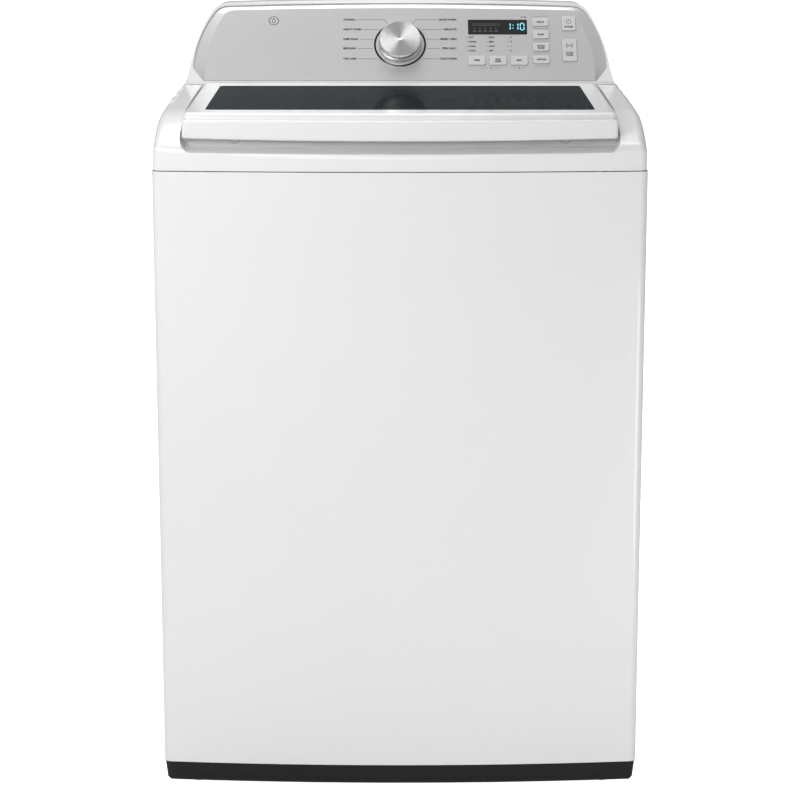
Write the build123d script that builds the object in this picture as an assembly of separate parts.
"""Top-load washing machine: a steel cabinet on four levelling feet, a moulded top cover with a
glass lid, a sloping console, and inside it a hung tub with its basket, agitator and motor.

Millimetres. +Z is up, the front faces -Y, and the origin is on the floor under the middle of
the machine. "Depth" is the distance behind the crown of the front, so y = FRONT + depth.
"""

from build123d import *
import math
import os

os.makedirs("parts", exist_ok=True)

# Driving dimensions
WIDTH = 686.0
DEPTH = 742.0
HEIGHT = 1112.0
FRONT = -DEPTH / 2
HOSE_ENDS = DEPTH / 2
BACK = 349.0
CROWN = 17.0
CORNER = 12.0
SHEET = 1.0
MOULDING = 3.0
HALF = WIDTH / 2

# Levels
PAD_TOP = 10.0
BASE_BOTTOM = 12.0
BASE_TOP = 42.0
SEAM = 901.0
COVER_BOTTOM = 902.0
RECESS_FLOOR = 925.0
LEDGE = 946.0
COVER_INSET, COVER_CORNER = 1.5, 10.5
SHOULDER_DEPTH, SHOULDER = 150.0, 975.0
SHOULDER_START, SHOULDER_LEAN = 924.5, 3.3
DECK = 991.0

# Lid
LID_HALF = 302.0
LID_FRONT = 20.0
LID_REAR = 424.0
LIP_THICK = 12.0
LIP_TOP = 970.0
LID_SKIRT = 955.0
LID_GAP = 3.0
WELL_REAR = 433.0
GRIP_WALL = 42.0
LID_PLANE_DEPTH, LID_PLANE_Z = 60.0, 979.5
LID_SLOPE = math.degrees(math.atan2(11.5, 364.0))
HINGE_DEPTH, HINGE_Z = 404.0, 975.0
GLASS_SIZE = (546.0, 301.0)
GLASS_THICK = 4.0

# Console
CONSOLE_DEPTH, CONSOLE_FOOT_Z = 436.0, 992.7
CONSOLE_LEAN = 37.0
DIAL_AT = (0.0, 65.0)
DIAL_RING = 39.0
DISPLAY_AT, DISPLAY_SIZE = (152.0, 97.3), (92.0, 27.5)
SEAT_GAP = 0.3
FACE_TOP = 2.0
FACE_BACK = -6.0
BUTTON_PROUD = 1.3
BUTTON_GAP = 0.4
BUTTONS = {
    "button_temperature": (119.0, 35.5, 27.0, 16.0),
    "button_soil_level": (151.8, 35.5, 27.0, 16.0),
    "button_spin_speed": (184.6, 35.5, 27.0, 16.0),
    "button_delay_end": (219.0, 106.0, 26.0, 14.0),
    "button_pre_soak": (219.0, 83.0, 26.0, 14.0),
    "button_extra_rinse": (219.0, 60.0, 26.0, 14.0),
    "button_options": (219.0, 37.0, 26.0, 14.0),
    "button_power": (263.0, 103.6, 22.0, 26.0),
    "button_start_pause": (263.0, 54.2, 22.4, 40.0),
}

# Tub and drive, all on one upright axis
TUB_Y = -20.0
TUB_R = 294.0
TUB_FLOOR = 240.0
TUB_TOP = 880.0
BASKET_R = 266.0
BASKET_FLOOR = 290.0
BASKET_TOP = 820.0
SHAFT_R = 14.0
SPIN_SHAFT_R = 20.0
BEARING_R = 35.0
BOSS_R = 52.0
BOSS_BOTTOM = 160.0
ROD_OFFSET = 262.0
ROD_R = 4.0
ROD_TOP, ROD_BOTTOM = 884.0, 246.0
EAR_BOTTOM, EAR_TOP = 330.0, 352.0
SPRING_R, SPRING_WIRE = 15.0, 2.5
CUP_TOP = 256.0
RUNNING = 0.05

# Water path
PUMP_X, PUMP_Y, PUMP_Z = -180.0, -190.0, 100.0
SPIGOT_BOTTOM, INTAKE_TOP = 212.0, 150.0
HOSE_X, HOSE_Y = -180.0, 325.0
DRAIN_Z = 866.0
VALVE_Z = 938.0
VALVE_X = {"hot_inlet_valve": 200.0, "cold_inlet_valve": 250.0}
FOOT_X, FOOT_Y = 295.0, 300.0

FACE = Plane(
    origin=(0, FRONT + CONSOLE_DEPTH, CONSOLE_FOOT_Z),
    x_dir=(1, 0, 0),
    z_dir=(0, -math.cos(math.radians(CONSOLE_LEAN)), math.sin(math.radians(CONSOLE_LEAN))),
).location
LID_TOP = Plane(
    origin=(0, FRONT + LID_PLANE_DEPTH, LID_PLANE_Z),
    x_dir=(1, 0, 0),
    z_dir=(0, -math.sin(math.radians(LID_SLOPE)), math.cos(math.radians(LID_SLOPE))),
).location


def y_at(depth):
    """The y of a point that far behind the crown of the front."""
    return FRONT + depth


def crown_at(x):
    """How far the front falls back at x, because it is crowned."""
    return CROWN * (x / HALF) ** 2


def block(x, y, z):
    """A box between the pairs of limits x, y and z."""
    size = [abs(b - a) for a, b in (x, y, z)]
    middle = [(a + b) / 2 for a, b in (x, y, z)]
    return Pos(*middle) * Box(*size)


def tube(outer, inner, z, x=0.0, y=0.0):
    """An upright tube, or a rod when inner is 0, between the two heights of z."""
    low, high = z
    body = Pos(x, y, (low + high) / 2) * Cylinder(outer, high - low)
    if inner:
        body -= Pos(x, y, (low + high) / 2) * Cylinder(inner, high - low + 2)
    return body


def rod_along(axis, radius, span, a, b):
    """A cylinder along X or Y over span. a, b are its other two coordinates, in X, Y, Z order."""
    length = span[1] - span[0]
    middle = (span[0] + span[1]) / 2
    if axis == "X":
        return Pos(middle, a, b) * Rot(0, 90, 0) * Cylinder(radius, length)
    return Pos(a, middle, b) * Rot(90, 0, 0) * Cylinder(radius, length)


def side_prism(points, half_width):
    """A prism along X whose section is given as (depth, z) points."""
    section = Plane.YZ * make_face(Polyline(*[(y_at(d), z) for d, z in points], close=True))
    return extrude(section, amount=half_width, both=True)


def front_prism(face):
    """A face drawn in x and z, made into a prism along the whole depth."""
    return extrude(Plane.XZ * face, amount=DEPTH, both=True)


def crowned_plan(half, front, back, front_radius, rear_radius):
    """A plan with a front crowned like the body's, shrunk or grown, and four round corners."""
    corner = front + crown_at(half)
    outline = (
        ThreePointArc((-half, corner), (0, front), (half, corner))
        + Line((half, corner), (half, back))
        + Line((half, back), (-half, back))
        + Line((-half, back), (-half, corner))
    )
    face = make_face(outline)
    face = fillet(face.vertices().group_by(Axis.Y)[0], front_radius)
    return fillet(face.vertices().group_by(Axis.Y)[-1], rear_radius)


def body_plan(inset=0.0, rear_inset=None):
    """The machine's footprint, shrunk by inset."""
    back = BACK - (inset if rear_inset is None else rear_inset)
    return crowned_plan(HALF - inset, FRONT + inset, back, max(CORNER - inset, 4.0), 6.0)


def upright(face, z):
    """A plan extruded between the two heights of z."""
    return Pos(0, 0, z[0]) * extrude(face, amount=z[1] - z[0])


# Cabinet and base


def cabinet_shell():
    """Painted steel wrapper: the crowned front and both sides, with narrow flanges at the back."""
    shell = upright(body_plan(), (BASE_TOP, SEAM))
    shell -= upright(body_plan(SHEET), (BASE_TOP - 1, SEAM + 1))
    flange = 28.0
    shell -= block(
        (flange - HALF, HALF - flange), (BACK - 10, BACK + 10), (BASE_TOP + 20, SEAM - 16)
    )
    return shell


def rear_panel():
    """Flat galvanised panel over the open back, with two pressed fields and its outlets."""
    thick = 1.0
    half, low, high = HALF - 16, BASE_TOP + 8, SEAM - 6
    panel = block((-half, half), (BACK, BACK + thick), (low, high))
    for x in (-150, 150):
        field = Pos(x, BACK + thick + 1.5, 450) * Box(230, 3, 520)
        panel += chamfer(field.edges().group_by(Axis.Y)[-1], 2.0)
        panel -= Pos(x, BACK + 1.5, 450) * Box(222, 3, 512)
    panel -= rod_along("Y", 17.0, (BACK - 5, BACK + 9), HOSE_X, DRAIN_Z)
    panel -= rod_along("Y", 8.05, (BACK - 5, BACK + 9), 230, 860)
    for level in range(6):
        z = 790 + level * 14
        panel -= block((-60, 60), (BACK - 5, BACK + 9), (z, z + 5))
    return panel


def base_frame():
    """Dark moulded plinth: a drafted skirt with corner pads for the feet and a pump shelf."""
    levels = [(BASE_BOTTOM, 7.5), (BASE_BOTTOM + 4, 4.2), (BASE_TOP, 1.2)]
    for (z_low, inset_low), (z_high, inset_high) in zip(levels, levels[1:]):
        slab = loft(
            [Pos(0, 0, z_low) * body_plan(inset_low), Pos(0, 0, z_high) * body_plan(inset_high)],
            ruled=True,
        )
        skirt = slab if z_low == BASE_BOTTOM else skirt + slab
    skirt -= upright(body_plan(26), (BASE_BOTTOM - 1, BASE_TOP + 1))
    for x in (-FOOT_X, FOOT_X):
        for y in (-FOOT_Y, FOOT_Y):
            skirt += block((x - 34, x + 34), (y - 40, y + 40), (22, 34))
    skirt += block((-330, -90), (PUMP_Y - 45, PUMP_Y + 45), (26, 34))
    for x in (-90, 250):
        skirt += block((x - 20, x + 20), (-345, 330), (22, 26))
    for x in (-FOOT_X, FOOT_X):
        for y in (-FOOT_Y, FOOT_Y):
            skirt -= tube(5.0 + RUNNING, 0, (BASE_BOTTOM, BASE_TOP + 5), x, y)
    return skirt


def levelling_foot(x, y):
    """Rubber-soled pad on a steel stud that screws through the base."""
    pad = chamfer(tube(21, 0, (0, PAD_TOP), x, y).edges().group_by(Axis.Z)[-1], 3)
    return pad + tube(5, 0, (PAD_TOP - 1, 56), x, y)


# Top cover


def cover_form(inset=0.0):
    """The cover's outer form: the body's plan under a shoulder that rises to a gently bowed deck."""
    i = inset
    side = COVER_INSET + i
    plan = crowned_plan(HALF - side, FRONT + side, BACK - i, COVER_CORNER, 6.0)
    column = upright(plan, (COVER_BOTTOM - 1, DECK + 60))
    lean = math.radians(SHOULDER_LEAN)
    joint = (y_at(SHOULDER_DEPTH) + i * math.sin(lean), SHOULDER - i * math.cos(lean))
    start, end = (y_at(0), SHOULDER_START - i), (BACK, DECK - i)
    below = COVER_BOTTOM - 5
    edge = (
        TangentArc(joint, start, tangent=(-math.cos(lean), -math.sin(lean)))
        + TangentArc(joint, end, tangent=(math.cos(lean), math.sin(lean)))
        + Line(end, (BACK, below))
        + Line((BACK, below), (y_at(0), below))
        + Line((y_at(0), below), start)
    )
    form = column & extrude(Plane.YZ * make_face(edge), amount=HALF + 10, both=True)
    rim = [
        e
        for e in form.edges()
        if e.center().Z > SHOULDER_START - 5 and e.center().Y < BACK - 20 and e.length > 1
        and not (abs(e.center().Y - joint[0]) < 2 and abs(e.center().X) < 10)
        and abs(e.tangent_at(0.5).Z) < 0.9
    ]
    return fillet(rim, 13.0 - i)


def well(margin=0.0):
    """The lid's well, and the finger recess in front of it, grown by margin."""
    half = LID_HALF + LID_GAP + margin
    plan = crowned_plan(half, y_at(GRIP_WALL - 6), y_at(WELL_REAR) + margin, 2.0, 18.0)
    sunk = upright(plan, (LEDGE - margin, DECK + 60))
    ahead = block((-half, half), (y_at(-30), y_at(90)), (RECESS_FLOOR - 20, DECK + 60))
    strip = ahead - upright(
        crowned_plan(HALF, y_at(GRIP_WALL) + margin, y_at(300), 2.0, 2.0),
        (RECESS_FLOOR - 30, DECK + 70),
    )
    floor = side_prism(
        [
            (-30, RECESS_FLOOR - margin),
            (0, RECESS_FLOOR - margin),
            (GRIP_WALL + 20, RECESS_FLOOR + 9 - margin),
            (GRIP_WALL + 20, DECK + 60),
            (-30, DECK + 60),
        ],
        half,
    )
    window = Pos(0, RECESS_FLOOR - margin + 60) * Rectangle(2 * half, 120)
    window = fillet(window.vertices().group_by(Axis.Y)[0], 22)
    return sunk + (strip & floor & front_prism(window))


def laundry_opening(margin=0.0):
    """The hole in the cover that the washing goes through."""
    face = Rectangle(500 + 2 * margin, 302 + 2 * margin)
    face = fillet(face.vertices().group_by(Axis.Y)[0], 90 + margin)
    face = fillet(face.vertices().group_by(Axis.Y)[-1], 40 + margin)
    return upright(Pos(0, y_at(233)) * face, (COVER_BOTTOM - 10, LEDGE + 1))


def top_cover():
    """White moulded cover: shoulders, lid well, finger recess and the collar of the opening."""
    outer = cover_form()
    hem = outer.edges().group_by(Axis.Z)[0]
    outer = chamfer([e for e in hem if e.center().Y < BACK - 5], 1.0)
    solid_near_well = well(MOULDING) + (laundry_opening(MOULDING) & outer)
    hollow = (cover_form(MOULDING) & block((-HALF, HALF), (-400, 400), (890, 1200))) - solid_near_well
    plan = body_plan(COVER_INSET + MOULDING)
    hollow += upright(plan, (COVER_BOTTOM - 5, COVER_BOTTOM + 1)) - laundry_opening(MOULDING)
    cover = outer - hollow - well() - laundry_opening()
    cover = cover & block((-HALF - 5, HALF + 5), (-400, 400), (COVER_BOTTOM, 1000))
    cover -= block((-222, -58), (y_at(378), y_at(WELL_REAR)), (COVER_BOTTOM - 5, LEDGE + 1))
    cover -= block((-222, -58), (y_at(430), y_at(437)), (COVER_BOTTOM - 5, LEDGE - 1))
    cover -= block((-280, 280), (y_at(470), y_at(690)), (DECK - 12, DECK + 10))
    cover -= block((274, 286), (y_at(142), y_at(173)), (LEDGE - 10, LEDGE + 5))
    for plug in cover_plugs().solids():
        cover -= plug
    for x in VALVE_X.values():
        cover -= rod_along("Y", 14.0, (BACK - 10, BACK + 10), x, VALVE_Z)
    return cover


def cover_plugs():
    """Two round plugs over the screws in the wall of the finger recess."""
    plugs = []
    for x in (-230, 230):
        back = y_at(GRIP_WALL + crown_at(230)) + 0.8
        plug = rod_along("Y", 9.3, (back - 2.8, back), x, LEDGE)
        plugs.append((plug & block((x - 20, x + 20), (back - 5, back), (LEDGE - 20, LEDGE))).solid())
    return Compound(children=plugs)


def lid_bumpers():
    """Four rubber rests on the ledge, just under the lid's side skirts."""
    rests = [
        tube(4.5, 0, (LEDGE, LID_SKIRT - 0.4), x, y_at(d)).solid()
        for x in (-297, 297)
        for d in (110, 350)
    ]
    return Compound(children=rests)


# Console


def console_form(inset=0.0):
    """The console's outer form: a leaning front, a narrow top and a long slope at the back."""
    rise = math.cos(math.radians(CONSOLE_LEAN))
    run = math.sin(math.radians(CONSOLE_LEAN))
    slope = 143.0
    i = inset
    profile = side_prism(
        [
            (CONSOLE_DEPTH + i, DECK - 10),
            (CONSOLE_DEPTH + i, CONSOLE_FOOT_Z),
            (CONSOLE_DEPTH + run * slope + i, CONSOLE_FOOT_Z + rise * slope - i),
            (CONSOLE_DEPTH + 100 + i, HEIGHT - i),
            (CONSOLE_DEPTH + 155 - i, HEIGHT - i),
            (712 - i, 1008 - i),
            (718 - i, DECK - 10),
        ],
        HALF,
    )
    side = (
        Line((-331 + i, DECK - 10), (-331 + i, DECK))
        + Line((-331 + i, DECK), (-325 + i, 1011))
        + ThreePointArc((-325 + i, 1011), (-316 + i, 1050), (-286 + i, HEIGHT - 5 - i))
    )
    outline = (
        side
        + ThreePointArc((-286 + i, HEIGHT - 5 - i), (0, HEIGHT - i), (286 - i, HEIGHT - 5 - i))
        + mirror(side, Plane.YZ)
        + Line((331 - i, DECK - 10), (-331 + i, DECK - 10))
    )
    face = make_face(outline)
    top = face.vertices().group_by(Axis.Y)[-1]
    return profile & front_prism(fillet(top, 30 - i))


def fascia_outline(inner=False, inset=0.0):
    """The fascia's outline on the leaning face, or the inner edge of its rolled border."""
    i = inset
    if inner:
        low, knee, mid, corner, crown = (301.5, 0), (301.2, 30), (295, 66), (270, 128.6), (0, 133)
        knee_radius, corner_radius = 14, 16
    else:
        low, knee, mid = (304 - i, 0 + i), (320 - i, 23.7), (313 - i, 72)
        corner, crown = (282.5 - i, 138.3 - i), (0, 143.8 - i)
        knee_radius, corner_radius = 12, 26 - i
    flip = [(-x, y) for x, y in (low, knee, mid, corner)]
    face = make_face(
        Line(low, knee)
        + ThreePointArc(knee, mid, corner)
        + ThreePointArc(corner, crown, flip[3])
        + ThreePointArc(flip[3], flip[2], flip[1])
        + Line(flip[1], flip[0])
        + Line(flip[0], low)
    )
    knees = [v for v in face.vertices() if abs(v.Y - knee[1]) < 0.1]
    face = fillet(knees, knee_radius)
    corners = [v for v in face.vertices() if abs(v.Y - corner[1]) < 0.1]
    return fillet(corners, corner_radius)


def pad(at, size, radius, w):
    """A rounded rectangular slab on the leaning face, between the two heights of w."""
    face = fillet(Rectangle(*size).vertices(), radius)
    return FACE * Pos(at[0], at[1], w[0]) * extrude(face, amount=w[1] - w[0])


def disc(radius, w, inner=0.0, at=DIAL_AT):
    """A disc or ring on the leaning face, between the two heights of w."""
    body = Cylinder(radius, w[1] - w[0])
    if inner:
        body -= Cylinder(inner, w[1] - w[0] + 2)
    return FACE * Pos(at[0], at[1], (w[0] + w[1]) / 2) * body


def console_housing():
    """White console shell, with a pocket for the fascia and an open underside."""
    outer = console_form()
    pocket = FACE * Pos(0, 0, FACE_BACK) * extrude(fascia_outline(), amount=30)
    behind = FACE * Pos(0, 0, FACE_BACK - MOULDING) * extrude(fascia_outline(inset=-3), amount=60)
    hollow = console_form(MOULDING) - behind
    housing = outer - hollow - pocket - Pos(0, 0, SEAT_GAP) * cover_form()
    return housing - pad((115, 70), (350, 112), 6, (-12, 0))


def console_fascia():
    """Silver fascia: a flat field inside a rolled border, pierced for the controls."""
    plate = Pos(0, 0, FACE_BACK) * extrude(fascia_outline(inset=0.25), amount=4)
    crown = loft(
        [
            Pos(0, 0, FACE_BACK + 4) * fascia_outline(inset=0.25),
            Pos(0, 0, FACE_TOP) * fascia_outline(inner=True),
        ],
        ruled=True,
    )
    fascia = FACE * (plate + crown)
    fascia -= pad(DISPLAY_AT, DISPLAY_SIZE, 1.5, (-10, 10))
    for u, v, width, height in BUTTONS.values():
        size = (width + 2 * BUTTON_GAP, height + 2 * BUTTON_GAP)
        fascia -= pad((u, v), size, 3 + BUTTON_GAP, (-10, 10))
    fascia -= disc(3.6, (-10, 10))
    return fascia - disc(DIAL_RING + 1.4, (FACE_TOP - 1.2, FACE_TOP + 2), inner=DIAL_RING - 1.4)


def dial_ring():
    """Black ring let into the fascia round the dial."""
    return disc(DIAL_RING + 1.4, (FACE_TOP - 1.2, FACE_TOP + 0.6), inner=DIAL_RING - 1.4)


def dial_knob():
    """Turned dial: a skirt, a neck and a flat cap, on a shaft that reaches the encoder."""
    section = make_face(
        Polyline(
            (0, 3.2), (33, 3.2), (33.4, 4.6), (33, 7.4), (31.4, 8.6),
            (31.4, 9.6), (32.4, 10.4), (32.4, 17.4), (31.2, 19.0), (0, 19.4), close=True,
        )
    )
    knob = revolve(Plane.XZ * section, Axis.Z)
    shaft = Pos(0, 0, -6) * Cylinder(3.0, 20)
    return FACE * Pos(DIAL_AT[0], DIAL_AT[1], 0) * (knob + shaft)


def display_window():
    """Smoked window, flush with the fascia."""
    size = (DISPLAY_SIZE[0] - 0.2, DISPLAY_SIZE[1] - 0.2)
    return pad(DISPLAY_AT, size, 1.4, (FACE_BACK + 1, FACE_TOP + 0.2))


def display_board():
    """Circuit board behind the controls, with its display module and the dial's encoder."""
    board = pad((134, 68), (308, 104), 2, (-14.4, -12.8))
    board += pad(DISPLAY_AT, (86, 22), 1, (-12.9, -6.4))
    board += pad(DIAL_AT, (24, 24), 2, (-22, -9.6))
    return board - disc(3.0 + RUNNING, (-18, 0))


def main_board():
    """Main control board in its tray, upright at the back of the console."""
    tray = block((-110, 110), (y_at(575), y_at(600)), (DECK + 4, DECK + 84))
    tray -= block((-107, 107), (y_at(572), y_at(597)), (DECK + 7, DECK + 81))
    return tray + block((-104, 104), (y_at(588), y_at(597)), (DECK + 10, DECK + 78))


def button(u, v, width, height):
    """One key: a slab through the fascia, with a retaining flange behind it."""
    cap = pad((u, v), (width, height), 3, (FACE_BACK - 0.6, FACE_TOP + BUTTON_PROUD))
    cap = fillet(cap.faces().sort_by(lambda f: f.center().Z)[-1].edges(), 0.6)
    return cap + pad((u, v), (width + 3, height + 3), 3, (FACE_BACK - 2.6, FACE_BACK - 0.5))


# Lid


def under_lid(inset):
    """Everything below the lid's top plane, lowered by inset."""
    return LID_TOP * Pos(0, 180, -inset - 50) * Box(2 * WIDTH, 2 * DEPTH, 100)


def lid_form(inset=0.0):
    """The lid frame's outer form behind its grip, or the same form shrunk by inset."""
    plan = crowned_plan(
        LID_HALF - inset,
        y_at(LID_FRONT + LIP_THICK) + inset,
        y_at(LID_REAR) - inset,
        9.0 - inset,
        16.0 - inset,
    )
    column = upright(plan, (LID_SKIRT - (10 if inset else 0), LID_PLANE_Z + 40))
    return column & under_lid(inset)


def glass_slab(grow, w):
    """A slab the shape of the glass, grown all round, between two heights on the lid's top."""
    face = Rectangle(GLASS_SIZE[0] + 2 * grow, GLASS_SIZE[1] + 2 * grow)
    face = fillet(face.vertices(), max(8 + grow, 3))
    middle = 20 + GLASS_SIZE[1] / 2
    return LID_TOP * Pos(0, middle, w[0]) * extrude(face, amount=w[1] - w[0])


def lid_frame():
    """White lid frame: a shell with side skirts and a rebate for the glass."""
    outer = lid_form()
    rim = [
        e for e in outer.edges() if e.center().Z > LIP_TOP + 5 and e.center().Y < y_at(LID_REAR - 18)
    ]
    outer = fillet(rim, 8.0)
    collar = glass_slab(3, (-12, 20))
    hollow = lid_form(MOULDING) - collar
    frame = outer - hollow - glass_slab(0.2, (-GLASS_THICK, 20)) - glass_slab(-9, (-30, 20))
    rear_skirt = block(
        (-LID_HALF - 5, LID_HALF + 5), (y_at(392), y_at(LID_REAR + 5)), (LID_SKIRT - 5, 965)
    )
    for x in ((-245, -227), (227, 245)):
        rear_skirt += block(x, (y_at(412), y_at(LID_REAR + 5)), (LID_SKIRT, 1000)) & under_lid(MOULDING)
    return frame - rear_skirt


def lid_strike():
    """The lock's strike: a plate that hangs from the lid's right side, with a window for the bolt."""
    strike = block((277, 283), (y_at(152), y_at(168)), (922, 990)) & (
        lid_form(MOULDING) + block((270, 290), (y_at(140), y_at(180)), (915, 970))
    )
    return strike - block((270, 290), (y_at(154), y_at(166)), (928, 939))


def lid_glass():
    """Tempered glass, flush with the lid's top."""
    return glass_slab(0, (-GLASS_THICK, 0))


def lid_handle():
    """The grip along the lid's front: a crowned bar whose lower edge sags at the middle."""
    back = upright(
        crowned_plan(LID_HALF + 5, y_at(LID_FRONT + LIP_THICK), y_at(200), 2, 2), (900, 1000)
    )
    bar = upright(crowned_plan(LID_HALF, y_at(LID_FRONT), y_at(120), 5, 2), (938, LIP_TOP)) - back
    low_edge = make_face(
        ThreePointArc((-LID_HALF - 4, 944.5), (0, 941.5), (LID_HALF + 4, 944.5))
        + Line((LID_HALF + 4, 944.5), (LID_HALF + 4, LIP_TOP + 5))
        + Line((LID_HALF + 4, LIP_TOP + 5), (-LID_HALF - 4, LIP_TOP + 5))
        + Line((-LID_HALF - 4, LIP_TOP + 5), (-LID_HALF - 4, 944.5))
    )
    bar = bar & front_prism(low_edge)
    rims = [
        e
        for e in bar.edges()
        if e.length > 400 and e.center().Y < y_at(LID_FRONT + LIP_THICK / 2)
    ]
    return fillet(rims, 3)


def lid_hinge_arms():
    """Two arms under the lid's rear edge, each with its pin."""
    arms = []
    for side in (-1, 1):
        near, far, tip = side * 244, side * 256, side * 227
        arm = block(sorted((near, far)), (y_at(392), y_at(414)), (966, 1000)) & lid_form(MOULDING)
        pin = rod_along("X", 4.0 - RUNNING, sorted((tip, far)), y_at(HINGE_DEPTH), HINGE_Z)
        arms.append((arm + pin).solid())
    return Compound(children=arms)


def hinge_brackets():
    """Two brackets on the ledge that hold the lid's pins."""
    made = []
    for side in (-1, 1):
        near, far = sorted((side * 230, side * 242))
        bracket = block((near, far), (y_at(397), y_at(411)), (LEDGE, 982))
        bracket += block((near - 8, far + 8), (y_at(392), y_at(428)), (LEDGE, LEDGE + 3))
        bracket -= rod_along("X", 4.0, (near - 20, far + 20), y_at(HINGE_DEPTH), HINGE_Z)
        made.append(bracket.solid())
    return Compound(children=made)


def lid_lock_housing():
    """Lock body under the right ledge, with the strike's slot and the bolt's channel."""
    body = block((264, 306), (y_at(128), y_at(192)), (912, LEDGE - MOULDING))
    body -= block((275, 285), (y_at(142), y_at(173)), (918, 950))
    return body - block((284, 301), (y_at(155.6), y_at(164.4)), (929.6, 936.4))


def lid_lock_bolt():
    """The bolt that slides into the strike."""
    return block((286, 298), (y_at(156), y_at(164)), (930, 936))


# Dispenser and spray


def dispenser_housing():
    """Detergent housing under the deck, open at the front for its drawer."""
    body = block((-225, -55), (y_at(438), y_at(570)), (904, 962))
    return body - block((-219.5, -60.5), (y_at(436), y_at(560)), (907, 946))


def dispenser_drawer():
    """Detergent drawer: a tray with two partitions."""
    tray = block((-218, -62), (y_at(386), y_at(552)), (908, 943))
    for x, front in (((-215.5, -168), 389), ((-165.5, -126.5), 424), ((-124, -64.5), 389)):
        tray -= block(x, (y_at(front), y_at(549)), (910.5, 950))
    return tray


def softener_cap():
    """Blue cap over the softener's filling hole in the drawer's front."""
    cap = tube(17, 0, (943, 949.5), -146, y_at(405))
    return fillet(cap.edges().group_by(Axis.Z)[-1], 2)


def water_jet_nozzle():
    """Spray nozzle: a foot on the ledge, and a head at the opening's rear with a fan-shaped slot."""
    body = block((112, 172), (y_at(366), y_at(428)), (LEDGE, LEDGE + 5))
    body += block((120, 164), (y_at(366), y_at(383)), (924, LEDGE + 1))
    body -= block((126, 158), (y_at(360), y_at(376)), (929, 934))
    return body - rod_along("Y", 5, (y_at(360), y_at(378)), 142, 940)


def inlet_valve(x):
    """Solenoid valve: a body, a coil and a threaded port that stands out at the back."""
    body = block((x - 16, x + 16), (BACK - 55, BACK - 16), (VALVE_Z - 16, VALVE_Z + 12))
    body += rod_along("Y", 18, (BACK - 16, BACK - MOULDING), x, VALVE_Z)
    body += rod_along("Y", 14, (BACK - MOULDING - 1, BACK + 3), x, VALVE_Z)
    body += rod_along("Y", 13.2, (BACK + 2, HOSE_ENDS), x, VALVE_Z)
    body += tube(12, 0, (VALVE_Z + 11, DECK - 8), x, BACK - 36)
    return body - rod_along("Y", 8.5, (BACK - 20, HOSE_ENDS + 5), x, VALVE_Z)


# Tub, basket and drive


def corners():
    """The four rod positions, as (x, y)."""
    return [(sx * ROD_OFFSET, TUB_Y + sy * ROD_OFFSET) for sx in (-1, 1) for sy in (-1, 1)]


def outer_tub():
    """Plastic tub: wall, floor, bearing boss, ribs, four hanging ears and a drain spigot."""
    tub = tube(TUB_R, TUB_R - 5, (TUB_FLOOR, TUB_TOP), 0, TUB_Y)
    tub += tube(TUB_R, BEARING_R, (TUB_FLOOR, TUB_FLOOR + 6), 0, TUB_Y)
    tub += tube(BOSS_R, BEARING_R, (BOSS_BOTTOM, TUB_FLOOR + 1), 0, TUB_Y)
    for z in (470, 620, 770):
        tub += tube(TUB_R + 5, TUB_R - 1, (z, z + 6), 0, TUB_Y)
    for k in range(12):
        rib = Rot(0, 0, 15 + 30 * k) * block((BOSS_R - 2, TUB_R - 24), (-2, 2), (222, TUB_FLOOR + 1))
        tub += Pos(0, TUB_Y, 0) * rib
    for x, y in corners():
        angle = math.degrees(math.atan2(y - TUB_Y, x))
        ear = block((TUB_R - 3, 390), (-28, 28), (EAR_BOTTOM, EAR_TOP))
        tub += Pos(0, TUB_Y, 0) * Rot(0, 0, angle) * ear
        tub -= tube(ROD_R + 1.5, 0, (EAR_BOTTOM - 5, EAR_TOP + 5), x, y)
    tub += tube(20, 0, (SPIGOT_BOTTOM, TUB_FLOOR + 1), PUMP_X, PUMP_Y)
    tub -= tube(16, 0, (SPIGOT_BOTTOM - 5, TUB_FLOOR + 10), PUMP_X, PUMP_Y)
    return tub


def tub_ring():
    """Ring that caps the tub and keeps splashes in."""
    ring = tube(TUB_R + 6, 246, (TUB_TOP, TUB_TOP + 6), 0, TUB_Y)
    return ring + tube(TUB_R + 6, TUB_R, (TUB_TOP - 14, TUB_TOP + 1), 0, TUB_Y)


def suspension_brackets():
    """Steel corner brackets that carry the rods from the cabinet's top corners."""
    made = []
    for x, y in corners():
        side = math.copysign(1, x)
        wall = side * (HALF - SHEET - 0.4)
        plate = block(sorted((x - side * 22, wall)), (y - 30, y + 30), (ROD_TOP - 8, ROD_TOP - 4))
        plate += block(sorted((wall - side * 4, wall)), (y - 30, y + 30), (ROD_TOP - 60, ROD_TOP - 5))
        plate -= tube(ROD_R + 0.5, 0, (ROD_TOP - 20, ROD_TOP + 10), x, y)
        made.append(plate.solid())
    return Compound(children=made)


def suspension_rods():
    """Four hanging rods, each with a ball head above its bracket and a cup at its foot."""
    made = []
    for x, y in corners():
        rod = tube(ROD_R, 0, (ROD_BOTTOM, ROD_TOP), x, y)
        rod += tube(11, 0, (ROD_TOP - 4, ROD_TOP + 4), x, y)
        rod += tube(20, 0, (ROD_BOTTOM, CUP_TOP), x, y)
        made.append(rod.solid())
    return Compound(children=made)


def suspension_springs():
    """Four coil springs between the cups and the tub's ears."""
    length = EAR_BOTTOM - CUP_TOP - 2 * SPRING_WIRE
    path = Helix(pitch=length / 6, height=length, radius=SPRING_R)
    section = Plane(path @ 0, z_dir=path % 0) * Circle(SPRING_WIRE - 0.3)
    coil = sweep(section, path=path, is_frenet=True)
    made = [(Pos(x, y, CUP_TOP + SPRING_WIRE) * coil).solid() for x, y in corners()]
    return Compound(children=made)


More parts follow.
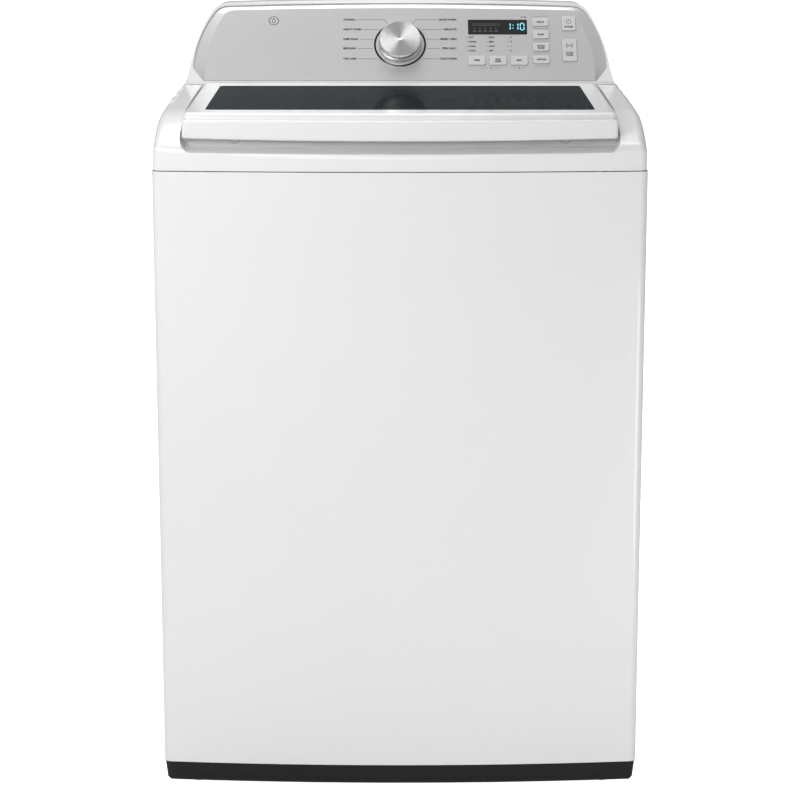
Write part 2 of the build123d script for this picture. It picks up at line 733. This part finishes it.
def sump_bellows():
    """Pleated rubber hose from the tub's spigot to the pump's intake."""
    pleats = 6
    step = (SPIGOT_BOTTOM - INTAKE_TOP) / pleats
    outer = [(19.5, INTAKE_TOP)]
    for k in range(pleats):
        z = INTAKE_TOP + k * step
        outer += [(25, z + step / 2), (19.5, z + step)]
    inner = [(r - 2.5, z) for r, z in reversed(outer)]
    section = make_face(Polyline(*(outer + inner), close=True))
    return Pos(PUMP_X, PUMP_Y, 0) * revolve(Plane.XZ * section, Axis.Z)


def wash_basket():
    """Stainless basket: a thin wall over a dished floor."""
    wall = 1.2
    basket = tube(BASKET_R, 0, (BASKET_FLOOR - wall, BASKET_TOP), 0, TUB_Y)
    basket = fillet(basket.edges().group_by(Axis.Z)[0], 24)
    inside = tube(BASKET_R - wall, 0, (BASKET_FLOOR, BASKET_TOP + 5), 0, TUB_Y)
    inside = fillet(inside.edges().group_by(Axis.Z)[0], 24 - wall)
    return basket - inside - tube(30, 0, (BASKET_FLOOR - 10, BASKET_FLOOR + 10), 0, TUB_Y)


def balance_ring():
    """Fluid-filled balance ring on top of the basket."""
    ring = tube(BASKET_R + 2, 232, (BASKET_TOP, BASKET_TOP + 42), 0, TUB_Y)
    return fillet(ring.edges().group_by(Axis.Z)[-1], 7)


def basket_hub():
    """Cast hub under the basket: three arms, a flange and the hollow spin shaft."""
    top = BASKET_FLOOR - 1.2
    hub = tube(110, SHAFT_R, (top - 12, top), 0, TUB_Y)
    for k in range(3):
        arm = Rot(0, 0, 90 + 120 * k) * block((60, BASKET_R - 30), (-24, 24), (top - 9, top))
        hub += Pos(0, TUB_Y, 0) * arm
    hub -= tube(SHAFT_R, 0, (top - 20, top + 5), 0, TUB_Y)
    return hub + tube(SPIN_SHAFT_R, SHAFT_R, (BOSS_BOTTOM, top - 11), 0, TUB_Y)


def shaft_bearings():
    """Two bearings in the tub's boss that carry the spin shaft."""
    bore = SPIN_SHAFT_R + RUNNING
    rings = [tube(BEARING_R, bore, (z, z + 17), 0, TUB_Y).solid() for z in (165, 222)]
    return Compound(children=rings)


def motor_stator():
    """Direct-drive stator: a flange on the boss, a yoke and eighteen poles."""
    stator = tube(80, 22, (BOSS_BOTTOM - 8, BOSS_BOTTOM), 0, TUB_Y)
    stator += tube(80, 54, (124, BOSS_BOTTOM - 7), 0, TUB_Y)
    for k in range(18):
        pole = Rot(0, 0, 20 * k) * block((78, 122), (-6, 6), (126, 150))
        stator += Pos(0, TUB_Y, 0) * pole
    return stator


def motor_rotor():
    """Rotor cup that turns round the stator, on the foot of the drive shaft."""
    bore = SHAFT_R - RUNNING
    rotor = tube(134, bore, (112, 116), 0, TUB_Y)
    rotor += tube(134, 128, (112, 152), 0, TUB_Y)
    return rotor + tube(26, bore, (115, 130), 0, TUB_Y)


def drive_shaft():
    """Solid shaft from the rotor to the agitator."""
    return tube(SHAFT_R - RUNNING, 0, (112, 330), 0, TUB_Y)


def agitator():
    """Agitator: a wide skirt, a hollow tapering barrel, four paddles and upper fins."""
    section = make_face(
        Polyline(
            (196, 296), (200, 302), (186, 312), (120, 330), (80, 362), (66, 410), (58, 500),
            (54, 640), (47, 640), (51, 500), (56, 420), (50, 345), (0, 345), (0, 330), (26, 330),
            (26, 337), (68, 337), (112, 324), (182, 307), (190, 300), (190, 296), close=True,
        )
    )
    body = revolve(Plane.XZ * section, Axis.Z)
    body += tube(26, SHAFT_R - RUNNING, (296, 331))
    paddle = make_face(
        Polyline((48, 330), (60, 400), (96, 396), (150, 372), (190, 330), (190, 304), (100, 322), close=True)
    )
    fin = make_face(Polyline((52, 440), (86, 470), (82, 600), (50, 625), close=True))
    cavity = tube(47, 0, (346, 645))
    for k in range(4):
        for outline, turn, thick in ((paddle, 0, 7), (fin, 45, 5)):
            vane = extrude(Plane.XZ * outline, amount=thick / 2, both=True) - cavity
            body += Rot(0, 0, 90 * k + turn) * vane
    return Pos(0, TUB_Y, 0) * body


def agitator_cap():
    """Domed cap that closes the agitator's barrel."""
    dome = Pos(0, TUB_Y, 592) * Sphere(82)
    return tube(58, 0, (640, 680), 0, TUB_Y) & dome


# Drain


def drain_pump():
    """Drain pump on the base: a chamber with intake and outlet, and its motor."""
    chamber = rod_along("X", 42, (PUMP_X - 22, PUMP_X + 22), PUMP_Y, PUMP_Z)
    chamber += tube(19, 0, (PUMP_Z, INTAKE_TOP), PUMP_X, PUMP_Y)
    chamber += rod_along("Y", 15, (PUMP_Y, PUMP_Y + 80), PUMP_X, PUMP_Z + 24)
    chamber += block((PUMP_X - 22, PUMP_X + 22), (PUMP_Y - 30, PUMP_Y + 30), (34, 70))
    chamber -= rod_along("X", 37, (PUMP_X - 18, PUMP_X + 18), PUMP_Y, PUMP_Z)
    chamber -= tube(15, 0, (PUMP_Z, INTAKE_TOP + 5), PUMP_X, PUMP_Y)
    chamber -= rod_along("Y", 11, (PUMP_Y, PUMP_Y + 90), PUMP_X, PUMP_Z + 24)
    shaft_hole = rod_along("X", 3.0 + RUNNING, (PUMP_X, PUMP_X + 60), PUMP_Y, PUMP_Z)
    motor = rod_along("X", 34, (PUMP_X + 22, PUMP_X + 82), PUMP_Y, PUMP_Z)
    return Compound(children=[(chamber - shaft_hole).solid(), (motor - shaft_hole).solid()])


def pump_impeller():
    """Four-vaned impeller and its shaft."""
    impeller = rod_along("X", 9, (PUMP_X - 15, PUMP_X + 15), PUMP_Y, PUMP_Z)
    impeller += rod_along("X", 3, (PUMP_X, PUMP_X + 56), PUMP_Y, PUMP_Z)
    for k in range(4):
        vane = block((PUMP_X - 14, PUMP_X + 14), (6, 31), (-1.5, 1.5))
        impeller += Pos(0, PUMP_Y, PUMP_Z) * Rot(90 * k, 0, 0) * vane
    return impeller


def drain_hose():
    """Drain hose from the pump, along the floor and up the back, and its outlet elbow."""
    low = PUMP_Z + 24
    path = FilletPolyline(
        (HOSE_X, PUMP_Y + 80, low), (HOSE_X, HOSE_Y, low), (HOSE_X, HOSE_Y, DRAIN_Z - 20), radius=60
    )
    ring = Circle(14) - Circle(11)
    hose = sweep(Plane(path @ 0, z_dir=path % 0) * ring, path=path)
    return Compound(children=[hose.solid(), drain_elbow().solid()])


def drain_elbow():
    """Elbow at the top of the drain hose, whose spigot stands out at the back."""
    elbow = tube(18, 0, (DRAIN_Z - 20, DRAIN_Z + 20), HOSE_X, HOSE_Y)
    elbow += rod_along("Y", 16, (HOSE_Y, BACK + 3), HOSE_X, DRAIN_Z)
    elbow += rod_along("Y", 15, (HOSE_Y, HOSE_ENDS), HOSE_X, DRAIN_Z)
    elbow -= tube(12, 0, (DRAIN_Z - 25, DRAIN_Z + 12.5), HOSE_X, HOSE_Y)
    return elbow - rod_along("Y", 11, (HOSE_Y, HOSE_ENDS + 5), HOSE_X, DRAIN_Z)


def cord_gland():
    """Bush in the rear panel where the mains lead passes."""
    gland = rod_along("Y", 12, (BACK + 1, BACK + 5), 230, 860)
    gland += rod_along("Y", 8, (BACK - 8, BACK + 2), 230, 860)
    gland += rod_along("Y", 11, (BACK - 9, BACK - 1), 230, 860)
    return gland - rod_along("Y", 4.5, (BACK - 20, BACK + 20), 230, 860)


def body_screws():
    """Screws round the rear panel, one solid each."""
    spots = [(x, z) for x in (-318, 318) for z in (80, 260, 440, 620, 800, 880)]
    spots += [(x, 884) for x in (-200, -100, 100, 200)]
    heads = [rod_along("Y", 5, (BACK + 1, BACK + 4), x, z).solid() for x, z in spots]
    return Compound(children=heads)


def build():
    """Every piece by its node name."""
    nodes = {
        "cabinet_shell": cabinet_shell,
        "rear_panel": rear_panel,
        "base_frame": base_frame,
        "top_cover": top_cover,
        "cover_plugs": cover_plugs,
        "lid_bumpers": lid_bumpers,
        "lid_lock_housing": lid_lock_housing,
        "lid_lock_bolt": lid_lock_bolt,
        "hinge_brackets": hinge_brackets,
        "console_housing": console_housing,
        "console_fascia": console_fascia,
        "dial_ring": dial_ring,
        "dial_knob": dial_knob,
        "display_window": display_window,
        "display_board": display_board,
        "main_board": main_board,
        "lid_frame": lid_frame,
        "lid_glass": lid_glass,
        "lid_handle": lid_handle,
        "lid_hinge_arms": lid_hinge_arms,
        "lid_strike": lid_strike,
        "dispenser_housing": dispenser_housing,
        "dispenser_drawer": dispenser_drawer,
        "softener_cap": softener_cap,
        "water_jet_nozzle": water_jet_nozzle,
        "outer_tub": outer_tub,
        "tub_ring": tub_ring,
        "suspension_brackets": suspension_brackets,
        "suspension_rods": suspension_rods,
        "suspension_springs": suspension_springs,
        "sump_bellows": sump_bellows,
        "wash_basket": wash_basket,
        "balance_ring": balance_ring,
        "basket_hub": basket_hub,
        "shaft_bearings": shaft_bearings,
        "motor_stator": motor_stator,
        "motor_rotor": motor_rotor,
        "drive_shaft": drive_shaft,
        "agitator": agitator,
        "agitator_cap": agitator_cap,
        "drain_pump": drain_pump,
        "pump_impeller": pump_impeller,
        "drain_hose": drain_hose,
        "cord_gland": cord_gland,
        "body_screws": body_screws,
    }
    for name, make in nodes.items():
        yield name, make()
    for name, x in VALVE_X.items():
        yield name, inlet_valve(x)
    for name, place in BUTTONS.items():
        yield name, button(*place)
    for depth_name, y in (("front", -FOOT_Y), ("rear", FOOT_Y)):
        for side_name, x in (("left", -FOOT_X), ("right", FOOT_X)):
            yield f"foot_{depth_name}_{side_name}", levelling_foot(x, y)


for node, shape in build():
    export_step(shape, f"parts/{node}.step")
